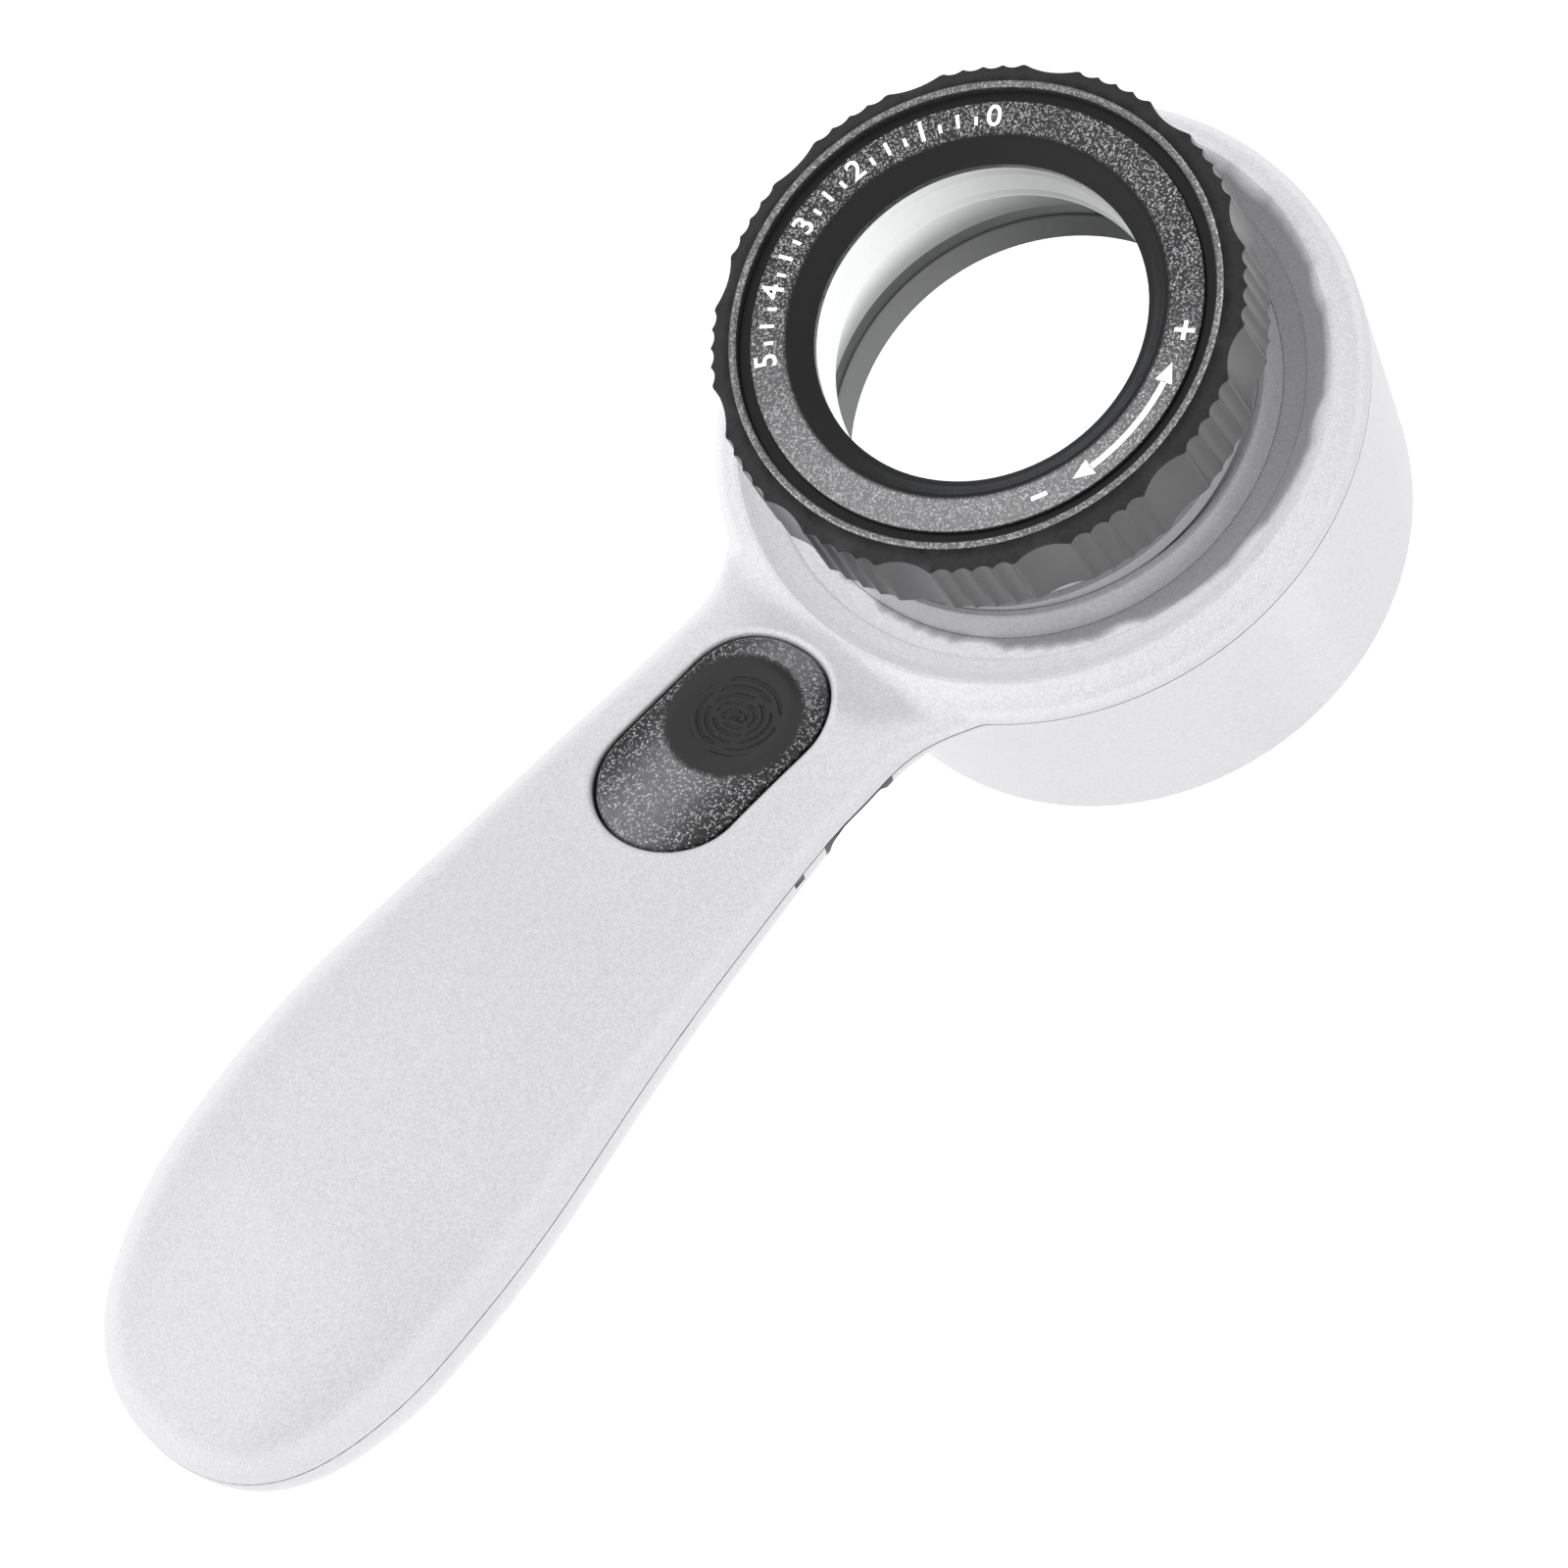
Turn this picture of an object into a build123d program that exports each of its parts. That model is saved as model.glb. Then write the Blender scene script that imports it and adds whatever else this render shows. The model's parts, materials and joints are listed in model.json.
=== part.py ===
from build123d import *
from math import cos, pi, radians, sin
import os

# Rechargeable hand-held LED scale loupe with a helical focus ring.
# Origin: on the optical axis, in the plane that the base rests on. +Z runs up the optical
# axis to the eye, the handle points along -X, and the charging port faces -Y.
# Position at rest: the focus ring is 9 mm above its lowest position.

# ---- driving dimensions (mm) -------------------------------------------------------------
WALL = 2.0                 # moulded shell thickness
SEAM_GAP = 0.16            # hairline between the two shells
RUNNING = 0.06             # radial clearance of turning and sliding pieces
SNUG = 0.02                # gap round pieces that are glued or pressed together

SEAM_Z = 31.0              # parting line on the head
RIM_Z = 35.0               # top edge of the head
BASE_R = 31.2              # head radius at the base
SEAM_R = 35.2              # head radius at the parting line
RIM_R = 32.5               # head radius at the top edge
DISH_STEP_R = 29.2         # step ring in the dish round the focus ring
DISH_STEP_Z = 33.7
DISH_LOW_Z = 33.0          # dish floor at its inner edge
DISH_BORE_R = 26.45
DISH_UNDER_Z = 31.4        # underside of the dish floor

BARREL_R = 24.6            # outside of the focus barrel
BARREL_BORE_R = 23.4
BARREL_LOW_Z = 27.2
BARREL_TOP_Z = 52.2
GROOVE_DEPTH = 0.6
FOCUS_LEAD = 10.0          # travel of the barrel in one turn
FOCUS_DOWN = 9.0           # travel below the position at rest
FOCUS_UP = 1.0             # travel above it
PIN_Z = 30.7               # height of the guide pins
PIN_R = 0.6

GRIP_R = 28.65             # tips of the knurling
GRIP_LOW_Z = 45.2
GRIP_TOP_Z = 54.2
SCALLOPS = 12
SCALLOP_PHASE = 26.3       # degrees from +X to the nearest scallop at rest
SCALLOP_R = 7.0            # radius of the cutter of each large scallop
SCALLOP_DEPTH = 0.8
NOTCHES_BETWEEN = 4        # small notches between two scallops
NOTCH_PITCH = 4.3          # degrees
NOTCH_R = 1.6
NOTCH_DEPTH = 0.4

APERTURE_R = 17.85
LENS_R = 18.5
LENS_CURVE_R = 100.0       # radius of each lens surface
LENS_EDGE = 1.2
LENS_GAP = 3.5             # between the edges of the two lenses
LENS_LOW_Z = 45.8          # lower edge of the lower lens

BOARD_TILT = 8.0           # slope of the neck, which the circuit board follows
BOARD_X = -48.6
BOARD_Z = 32.85            # height of the parting line there
BOARD_TOP = -0.6           # board faces, measured from the parting line
BOARD_THICKNESS = 1.0

BUTTON_TILT = 7.0
BUTTON_X = -49.6
BUTTON_Z = 36.4            # underside of the cap's skirt at the middle of the button
BUTTON_LENGTH = 27.8
BUTTON_WIDTH = 16.3
BUTTON_GAP = 0.3
OPENING_EDGE_ABOVE = 1.5   # the opening's upper edges are this far above the button plane
BUTTON_PROUD = -0.2        # cap's surface against the handle's
BUTTON_BEVEL = 0.7         # rounded edge of the opening
BUTTON_PIVOT_U = -11.8     # trunnions, measured along the button from its middle
TRUNNION_R = 0.75
TRUNNION_H = -0.05         # height of the trunnions' axis on the button plane
EAR_V = 10.0               # ears that hold the trunnions
EAR_LOW = -1.6
DISH_U = 3.9               # middle of the thumb dish
THUMB_DISH_BALL_R = 22.0
THUMB_DISH_BALL_H = 23.9

SWITCH_U = 2.6             # switch, measured along the board from the button's middle
SWITCH_SIZE = 6.0
SWITCH_BODY_TOP = 1.3
PLUNGER_R = 1.7
PLUNGER_TOP = 1.9
POST_R = 1.0               # the cap's post over the plunger
POST_GAP = 0.05
POST_HEIGHT = 3.1

PORT_U = 3.6
PORT_WIDTH = 10.4          # opening in the shell
PORT_HEIGHT = 3.9
SOCKET_WIDTH = 8.94        # socket behind it
SOCKET_HEIGHT = 3.16
SOCKET_DEPTH = 6.8
SOCKET_MOUTH_Y = -12.4
SOCKET_MIDDLE = -2.0       # height of the socket's axis on the board plane
INDICATOR_U = -5.9
INDICATOR_WIDTH = 1.5
INDICATOR_HEIGHT = 1.0
INDICATOR_LOW = -1.3
INDICATOR_TOP = INDICATOR_LOW + INDICATOR_HEIGHT

BATTERY_FROM_X = -119.0
BATTERY_TO_X = -84.0
BATTERY_LOW_Z = 29.0
BATTERY_THICK = 6.0
BATTERY_WIDTH = 24.0

LED_COUNT = 12
LED_RING_R = 27.8
LED_BOARD_Z = 24.6         # underside of the light board
LED_HEIGHT = 0.8

SCREW_R = 1.1
SCREW_HEAD_R = 2.0
SCREW_LENGTH = 9.0
SCREW_SEAT_DEPTH = 5.6     # seat of the screw heads below the parting line
BOARD_SCREW_U = -17.0
BOARD_SCREW_V = (-8.5, 8.5)
BOARD_SCREW_R = 0.8
BATTERY_RIB_X = (-91.0, -101.5, -112.0)
BATTERY_RIB_TOP = 27.2
COLLAR_SCREW_R = 0.7
COLLAR_SCREW_RING_R = 28.0
COLLAR_SCREW_ANGLES = (30, 150, 270)
PIN_ANGLES = (90, 210, 330)
PIN_TIP_R = 24.1
COLLAR_TOP_R = 25.2        # the collar's cone stands round the barrel above the dish
COLLAR_TOP_Z = 35.9
CELL_FLANGE_Z = 49.4
CELL_TOP_Z = 52.1
SHELL_SCREWS = [(-76.0, 10.0), (-76.0, -10.0), (-131.0, 0.0)]

# Handle stations: x, half width, height above the parting line, depth below it.
HANDLE_POWER = 2.5         # superellipse exponent of every section
HANDLE_STATIONS = [
    (-24.0, 23.4, 1.2, 5.0),
    (-27.4, 20.4, 1.6, 5.0),
    (-30.2, 18.4, 2.2, 5.0),
    (-33.0, 16.6, 3.7, 5.0),
    (-36.5, 15.1, 5.7, 5.1),
    (-41.0, 14.7, 6.5, 5.4),
    (-48.0, 14.85, 6.6, 6.3),
    (-56.5, 15.55, 7.0, 7.5),
    (-70.6, 16.75, 8.2, 9.0),
    (-85.0, 18.35, 10.2, 10.1),
    (-98.8, 19.75, 11.4, 11.2),
    (-111.0, 19.8, 12.0, 12.0),
    (-122.0, 18.7, 11.2, 11.5),
    (-130.0, 16.2, 9.6, 10.0),
    (-135.5, 12.7, 7.4, 7.8),
    (-139.0, 7.9, 4.6, 4.8),
    (-140.3, 3.7, 2.2, 2.3),
]
HANDLE_TIP_X = -140.7
NECK_FILLET = 3.0          # soft joint between the handle and the head
NECK_EDGE_FROM_X = -37.0   # the joint's edges lie between these two places
NECK_EDGE_TO_X = -25.0
SEAM_START_X = -33.0       # the parting line is level from here to the far side of the head
SEAM_POINTS = [
    (-44.4, 32.3),
    (-56.5, 33.6),
    (-72.0, 34.1),
    (-88.0, 33.9),
    (-100.0, 33.1),
    (-112.0, 31.9),
    (-124.0, 30.4),
    (-141.0, 28.4),
]
FAR = 60.0                 # beyond the object in every cutting shape


# ---- planes ------------------------------------------------------------------------------
def neck_plane(x, z, tilt):
    """A plane on the handle's centre line that rises towards the handle's end."""
    slope = radians(tilt)
    along = (cos(slope), 0, -sin(slope))
    normal = (sin(slope), 0, cos(slope))
    return Plane(origin=(x, 0, z), x_dir=along, z_dir=normal)


BOARD_PLANE = neck_plane(BOARD_X, BOARD_Z, BOARD_TILT)
BUTTON_PLANE = neck_plane(BUTTON_X, BUTTON_Z, BUTTON_TILT)


# ---- helpers -----------------------------------------------------------------------------
def save(part, name):
    """Label one finished piece and write its STEP file."""
    part.label = name
    export_step(part, f"parts/{name}.step")


def ring(*outline):
    """Revolve a closed outline of (radius, height) points about the optical axis."""
    with BuildPart() as made:
        with BuildSketch(Plane.XZ):
            with BuildLine():
                Polyline(*outline, close=True)
            make_face()
        revolve(axis=Axis.Z)
    return made.part


def tube(inner, outer, low, high):
    """A plain ring with square edges."""
    return ring((inner, low), (outer, low), (outer, high), (inner, high))


def slot_prism(plane, length, width, low, high):
    """A block with round ends, standing on one of the neck planes."""
    with BuildPart() as made:
        with BuildSketch(plane.offset(low)):
            SlotOverall(length, width)
        extrude(amount=high - low)
    return made.part


def block(plane, u, v, low, size_u, size_v, high):
    """A box standing on one of the neck planes, centred on (u, v)."""
    with BuildPart() as made:
        with BuildSketch(plane.offset(low)):
            with Locations((u, v)):
                Rectangle(size_u, size_v)
        extrude(amount=high - low)
    return made.part


def upright(x, y, radius, low, high):
    """A plain upright cylinder."""
    with BuildPart() as made:
        with BuildSketch(Plane.XY.offset(low)):
            with Locations((x, y)):
                Circle(radius)
        extrude(amount=high - low)
    return made.part


def inside_handle(solids):
    """The parts of some solids that lie inside the handle's outer form."""
    with BuildPart() as made:
        add(solids)
        add(handle_outer, mode=Mode.INTERSECT)
    return made.part


def across(plane, u, height, radius, half_length):
    """A cylinder lying across the handle (along Y) at (u, height) on a neck plane."""
    start = plane.from_local_coords((u, -half_length, height))
    with BuildPart() as made:
        with BuildSketch(Plane(origin=start, x_dir=(1, 0, 0), z_dir=(0, 1, 0))):
            Circle(radius)
        extrude(amount=2 * half_length)
    return made.part


def board_post(u, v, radius, low, high):
    """A cylinder standing on the board plane."""
    with BuildPart() as made:
        with BuildSketch(BOARD_PLANE.offset(low)):
            with Locations((u, v)):
                Circle(radius)
        extrude(amount=high - low)
    return made.part


def screw_seat(x):
    """Height of a shell screw's head seat."""
    return seam_z(x) - SCREW_SEAT_DEPTH


def collar_screw_xy(angle):
    """Place of one collar screw."""
    return COLLAR_SCREW_RING_R * cos(radians(angle)), COLLAR_SCREW_RING_R * sin(radians(angle))


os.makedirs("parts", exist_ok=True)

# ---- handle and head forms ---------------------------------------------------------------
with BuildLine(Plane.XZ) as seam_line:
    Spline((SEAM_START_X, SEAM_Z), *SEAM_POINTS, tangents=((-1, 0.02), (-1, -0.11)))


def seam_z(x):
    """Height of the parting line at x."""
    if x > SEAM_START_X - 0.01:
        return SEAM_Z
    probe = Edge.make_line((x, 0, 0), (x, 0, FAR))
    return seam_line.line.edge().intersect(probe).vertices()[0].Z


def seam_region(side, shift):
    """Everything above (side 1) or below (side -1) the parting line moved by shift."""
    end_x, end_z = SEAM_POINTS[-1]
    with BuildPart() as made:
        with BuildSketch(Plane.XZ):
            with BuildLine():
                Line((FAR, SEAM_Z + shift), (SEAM_START_X, SEAM_Z + shift))
                Spline(
                    (SEAM_START_X, SEAM_Z + shift),
                    *[(x, z + shift) for x, z in SEAM_POINTS],
                    tangents=((-1, 0.02), (-1, -0.11)),
                )
                Polyline(
                    (end_x, end_z + shift),
                    (end_x - FAR, end_z + shift),
                    (end_x - FAR, SEAM_Z + side * FAR),
                    (FAR, SEAM_Z + side * FAR),
                    (FAR, SEAM_Z + shift),
                )
            make_face()
        extrude(amount=FAR, both=True)
    return made.part


def handle_section(half_width, above, below):
    """Points round one section: two half superellipses that meet on the parting line."""
    points = []
    count = 24
    for i in range(count):
        angle = 2 * pi * i / count
        across = abs(cos(angle)) ** (2 / HANDLE_POWER) * (1 if cos(angle) >= 0 else -1)
        up = abs(sin(angle)) ** (2 / HANDLE_POWER)
        points.append((half_width * across, above * up if sin(angle) >= 0 else -below * up))
    return points


def handle_solid(inset):
    """The handle's outer form, or its cavity when inset is the wall thickness."""
    tip_x = HANDLE_TIP_X + inset
    sections = []
    for x, half_width, above, below in HANDLE_STATIONS:
        if above < inset + 0.8 or x < tip_x:
            continue
        plane = Plane(origin=(x, 0, seam_z(x)), x_dir=(0, 1, 0), z_dir=(1, 0, 0))
        with BuildSketch(plane) as section:
            with BuildLine():
                outline = handle_section(half_width - inset, above - inset, below - inset)
                Spline(*outline, periodic=True)
            make_face()
        sections.append(section.sketch.face())
    return loft(sections=[*sections, Vertex(tip_x, 0, seam_z(tip_x))])


def head_solid():
    """The head's outer form up to the rim, before the dish is cut."""
    foot = 1.0
    slope = (SEAM_R - BASE_R) / SEAM_Z
    with BuildPart() as made:
        with BuildSketch(Plane.XZ):
            with BuildLine():
                Line((0, 0), (BASE_R - foot, 0))
                foot_edge = RadiusArc((BASE_R - foot, 0), (BASE_R + foot * slope, foot), -foot)
                Line(foot_edge @ 1, (SEAM_R, SEAM_Z))
                shoulder = TangentArc((SEAM_R, SEAM_Z), (RIM_R + 0.85, RIM_Z - 0.55), tangent=(0.12, 1))
                TangentArc(shoulder @ 1, (RIM_R, RIM_Z), tangent=shoulder % 1)
                Line((RIM_R, RIM_Z), (0, RIM_Z))
                Line((0, RIM_Z), (0, 0))
            make_face()
        revolve(axis=Axis.Z)
    return made.part


def dish_cut():
    """The space above the dish that surrounds the focus ring."""
    return ring(
        (0, DISH_LOW_Z),
        (DISH_BORE_R, DISH_LOW_Z),
        (DISH_STEP_R - 0.3, DISH_STEP_Z - 0.35),
        (DISH_STEP_R, DISH_STEP_Z),
        (RIM_R - 1.6, RIM_Z - 0.65),
        (RIM_R - 0.6, RIM_Z - 0.1),
        (RIM_R - 0.4, RIM_Z),
        (RIM_R - 0.4, FAR),
        (0, FAR),
    )


def head_cavity():
    """The hollow of the head under the dish floor."""
    slope = (SEAM_R - BASE_R) / SEAM_Z
    return ring(
        (0, -1),
        (BASE_R - WALL, -1),
        (BASE_R - WALL + slope * DISH_UNDER_Z, DISH_UNDER_Z),
        (0, DISH_UNDER_Z),
    )


# ---- shells ------------------------------------------------------------------------------
handle_outer = handle_solid(0)
with BuildPart() as shell_form:
    add(head_solid())
    add(handle_outer)
    joint_edges = [
        edge
        for edge in shell_form.edges().filter_by(GeomType.BSPLINE)
        if edge.bounding_box().min.X > NECK_EDGE_FROM_X and edge.bounding_box().max.X < NECK_EDGE_TO_X
    ]
    fillet(joint_edges, radius=NECK_FILLET)
    add(dish_cut(), mode=Mode.SUBTRACT)
    add(head_cavity(), mode=Mode.SUBTRACT)
    add(handle_solid(WALL), mode=Mode.SUBTRACT)
    add(tube(0, DISH_BORE_R, DISH_UNDER_Z - 1, RIM_Z), mode=Mode.SUBTRACT)
    add(block(Plane.XY, -34.0, 0, 27.0, 9, 20, SEAM_Z), mode=Mode.SUBTRACT)

opening_length = BUTTON_LENGTH + 2 * BUTTON_GAP
opening_width = BUTTON_WIDTH + 2 * BUTTON_GAP
upper_posts = [upright(x, y, 2.6, seam_z(x) - 3, FAR) for x, y in SHELL_SCREWS]
for side in (-1, 1):
    upper_posts.append(block(BUTTON_PLANE, BUTTON_PIVOT_U, side * EAR_V, EAR_LOW, 3.2, 1.4, 6))
upper_cuts = [
    slot_prism(BUTTON_PLANE, opening_length, opening_width, -6, 9),
    slot_prism(BUTTON_PLANE, opening_length + 2.0, opening_width + 1.7, -4, 0.15),
    across(BUTTON_PLANE, BUTTON_PIVOT_U, TRUNNION_H, TRUNNION_R + RUNNING, 10.6),
]
for x, y in SHELL_SCREWS:
    upper_cuts.append(upright(x, y, SCREW_R + SNUG, seam_z(x) - 3, screw_seat(x) + SCREW_LENGTH + 0.3))
for angle in COLLAR_SCREW_ANGLES:
    upper_cuts.append(upright(*collar_screw_xy(angle), COLLAR_SCREW_R + SNUG, 30, 32.6))
with BuildPart() as upper_shell:
    add(shell_form.part)
    add(inside_handle(upper_posts))
    add(seam_region(1, 0), mode=Mode.INTERSECT)
    add(upper_cuts, mode=Mode.SUBTRACT)
    opening_edges = [
        edge
        for edge in upper_shell.edges().filter_by(GeomType.BSPLINE)
        if abs(edge.center().Y) < BUTTON_WIDTH
        and abs(edge.center().X - BUTTON_X) < BUTTON_LENGTH
        and BUTTON_PLANE.to_local_coords(edge.position_at(0.5)).Z > OPENING_EDGE_ABOVE
    ]
    fillet(opening_edges, radius=BUTTON_BEVEL)
save(upper_shell.part, "upper_shell")

board_low = BOARD_TOP - BOARD_THICKNESS
lower_posts = [upright(x, y, 3.1, 10, seam_z(x)) for x, y in SHELL_SCREWS]
lower_posts += [block(Plane.XY, x, 0, 10, 1.6, 20, BATTERY_RIB_TOP) for x in BATTERY_RIB_X]
lower_posts += [board_post(BOARD_SCREW_U, v, 2.2, -16, board_low - SNUG) for v in BOARD_SCREW_V]
lower_cuts = [
    block(BOARD_PLANE, PORT_U, -12, -PORT_HEIGHT, PORT_WIDTH, 13, 1),
    block(BOARD_PLANE, INDICATOR_U, -15, INDICATOR_LOW, INDICATOR_WIDTH, 8, INDICATOR_TOP),
]
lower_cuts += [upright(x, y, SCREW_HEAD_R + 0.15, 0, screw_seat(x)) for x, y in SHELL_SCREWS]
lower_cuts += [upright(x, y, SCREW_R + 0.1, 0, FAR) for x, y in SHELL_SCREWS]
lower_cuts += [board_post(BOARD_SCREW_U, v, BOARD_SCREW_R + SNUG, -6, 0) for v in BOARD_SCREW_V]
with BuildPart() as lower_shell:
    add(shell_form.part)
    add(inside_handle(lower_posts))
    add(seam_region(-1, -SEAM_GAP), mode=Mode.INTERSECT)
    add(lower_cuts, mode=Mode.SUBTRACT)
save(lower_shell.part, "lower_shell")

with BuildPart() as shell_screws:
    for x, y in SHELL_SCREWS:
        seat = screw_seat(x)
        add(upright(x, y, SCREW_R, seat - 0.5, seat + SCREW_LENGTH))
        add(upright(x, y, SCREW_HEAD_R, seat - 1.5, seat - SNUG))
        add(block(Plane.XY, x, y, seat - 1.6, 2.4, 0.6, seat - 0.9), mode=Mode.SUBTRACT)
        add(block(Plane.XY, x, y, seat - 1.6, 0.6, 2.4, seat - 0.9), mode=Mode.SUBTRACT)
save(shell_screws.part, "shell_screws")

# ---- base --------------------------------------------------------------------------------
base_ring = ring((25.05, 0), (29.1, 0), (29.1, 3.88), (26.05, 3.88), (26.05, 0.82), (25.05, 0.82))
save(base_ring, "base_ring")

reticle_glass = ring((0, 0), (25.0, 0), (25.0, 0.84), (26.0, 0.84), (26.0, 2.6), (0, 2.6))
save(reticle_glass, "reticle_glass")

save(tube(24.8, 26.03, 2.62, 3.6), "reticle_retainer")

# ---- light unit --------------------------------------------------------------------------
reflector = ring((27.9, 3.92), (28.9, 3.92), (31.0, 22.58), (30.0, 22.58))
save(reflector, "reflector_cone")

diffuser = ring(
    (25.3, 22.6),
    (31.2, 22.6),
    (31.2, 25.0),
    (30.65, 25.0),
    (30.65, 24.58),
    (29.9, 24.58),
    (29.9, 23.4),
    (25.7, 23.4),
    (25.7, 24.58),
    (25.3, 24.58),
)
save(diffuser, "light_diffuser")

save(tube(25.3, 30.6, LED_BOARD_Z, 25.6), "light_board")

with BuildPart() as light_chips:
    with BuildSketch(Plane.XY.offset(LED_BOARD_Z - LED_HEIGHT)):
        with PolarLocations(LED_RING_R, LED_COUNT):
            Rectangle(3.4, 2.8)
    extrude(amount=LED_HEIGHT - SNUG)
save(light_chips.part, "light_chips")

# ---- focus collar and its guide pins -----------------------------------------------------
def pin_plane(angle):
    """The plane across one guide pin, with its origin on the optical axis."""
    return Plane(origin=(0, 0, PIN_Z), x_dir=(0, 0, 1), z_dir=(1, 0, 0)).rotated((0, 0, angle))


collar_bore = BARREL_R + RUNNING
with BuildPart() as focus_collar:
    add(
        ring(
            (collar_bore, 25.7),
            (26.4, 25.7),
            (26.4, 30.0),
            (29.6, 30.0),
            (29.6, DISH_UNDER_Z - SNUG),
            (26.4, DISH_UNDER_Z - SNUG),
            (26.4, DISH_LOW_Z),
            (COLLAR_TOP_R, COLLAR_TOP_Z - 0.5),
            (COLLAR_TOP_R, COLLAR_TOP_Z),
            (collar_bore, COLLAR_TOP_Z),
            (collar_bore, 32.4),
            (25.6, 32.4),
            (25.6, 31.6),
            (collar_bore, 31.6),
        )
    )
    for angle in PIN_ANGLES:
        with BuildSketch(pin_plane(angle)):
            Circle(PIN_R + SNUG)
        extrude(amount=32, mode=Mode.SUBTRACT)
    for angle in COLLAR_SCREW_ANGLES:
        add(upright(*collar_screw_xy(angle), COLLAR_SCREW_R + 0.1, 29, 32), mode=Mode.SUBTRACT)
save(focus_collar.part, "focus_collar")

with BuildPart() as guide_pins:
    for angle in PIN_ANGLES:
        with BuildSketch(pin_plane(angle).offset(PIN_TIP_R)):
            Circle(PIN_R)
        extrude(amount=29.4 - PIN_TIP_R)
save(guide_pins.part, "guide_pins")

with BuildPart() as collar_screws:
    for angle in COLLAR_SCREW_ANGLES:
        add(upright(*collar_screw_xy(angle), COLLAR_SCREW_R, 29.5, 32.5))
        add(upright(*collar_screw_xy(angle), 1.35, 29.1, 30.0 - SNUG))
save(collar_screws.part, "collar_screws")

save(tube(collar_bore - 0.02, 25.58, 31.65, 32.35), "friction_ring")

# ---- lens cell ---------------------------------------------------------------------------
def lens(edge_low):
    """A biconvex lens whose edge starts at edge_low."""
    bulge = LENS_CURVE_R - (LENS_CURVE_R ** 2 - LENS_R ** 2) ** 0.5
    edge_high = edge_low + LENS_EDGE
    with BuildPart() as made:
        with BuildSketch(Plane.XZ):
            with BuildLine():
                RadiusArc((0, edge_low - bulge), (LENS_R, edge_low), -LENS_CURVE_R)
                Line((LENS_R, edge_low), (LENS_R, edge_high))
                RadiusArc((LENS_R, edge_high), (0, edge_high + bulge), -LENS_CURVE_R)
                Line((0, edge_high + bulge), (0, edge_low - bulge))
            make_face()
        revolve(axis=Axis.Z)
    return made.part


seat_gap = 0.14            # the curved faces stand this far past the lens edges at the aperture
upper_lens_z = LENS_LOW_Z + LENS_EDGE + LENS_GAP
lens_top_z = upper_lens_z + LENS_EDGE
save(lens(LENS_LOW_Z), "lower_lens")
save(lens(upper_lens_z), "upper_lens")
save(tube(APERTURE_R, LENS_R, LENS_LOW_Z + LENS_EDGE + seat_gap, upper_lens_z - seat_gap), "lens_spacer")
save(tube(APERTURE_R, 19.28, lens_top_z + seat_gap, CELL_TOP_Z), "lens_retainer")

cell_bore = LENS_R + SNUG
lens_cell = ring(
    (19.6, 45.0),
    (20.3, 45.0),
    (20.3, CELL_FLANGE_Z),
    (BARREL_BORE_R - RUNNING, CELL_FLANGE_Z),
    (BARREL_BORE_R - RUNNING, CELL_TOP_Z),
    (19.3, CELL_TOP_Z),
    (19.3, lens_top_z),
    (cell_bore, lens_top_z),
    (cell_bore, LENS_LOW_Z - seat_gap),
    (APERTURE_R, LENS_LOW_Z - seat_gap),
)
save(lens_cell, "lens_cell")

# ---- focus ring --------------------------------------------------------------------------
with BuildPart() as focus_barrel:
    add(
        ring(
            (BARREL_BORE_R, BARREL_LOW_Z),
            (BARREL_R, BARREL_LOW_Z),
            (BARREL_R, BARREL_TOP_Z),
            (BARREL_BORE_R, BARREL_TOP_Z),
            (BARREL_BORE_R, CELL_FLANGE_Z - 0.06),
            (22.4, CELL_FLANGE_Z - 0.06),
            (22.4, CELL_FLANGE_Z - 1.0),
            (BARREL_BORE_R, CELL_FLANGE_Z - 1.0),
        )
    )
    # At its own angle each guide pin meets its groove at the pin's height, with the barrel at rest.
    run_on = 0.3
    groove_low = PIN_Z - FOCUS_UP - run_on
    groove_rise = FOCUS_UP + FOCUS_DOWN + 2 * run_on
    start_turn = 360 * (groove_low - PIN_Z) / FOCUS_LEAD
    for angle in PIN_ANGLES:
        foot = (0, 0, groove_low)
        helix = Helix(FOCUS_LEAD, groove_rise, BARREL_R, center=foot, mode=Mode.PRIVATE)
        path = helix.edge().rotate(Axis.Z, angle + start_turn)
        start = path.position_at(0)
        outward = (start.X, start.Y, 0)
        with BuildSketch(Plane(origin=start, x_dir=outward, z_dir=path.tangent_at(0))) as groove:
            Rectangle(2 * GROOVE_DEPTH, 2 * (PIN_R + 0.09))
        sweep(sections=groove.sketch, path=path, is_frenet=True, mode=Mode.SUBTRACT)
save(focus_barrel.part, "focus_barrel")

save(ring((22.0, BARREL_LOW_Z), (23.38, BARREL_LOW_Z), (23.38, 29.6), (23.15, 29.6)), "barrel_end_ring")

light_funnel = ring(
    (19.8, 44.7),
    (23.2, 32.2),
    (23.38, 32.2),
    (23.38, 34.5),
    (20.75, 43.9),
    (23.38, 43.9),
    (23.38, 44.7),
)
save(light_funnel, "light_funnel")

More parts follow.
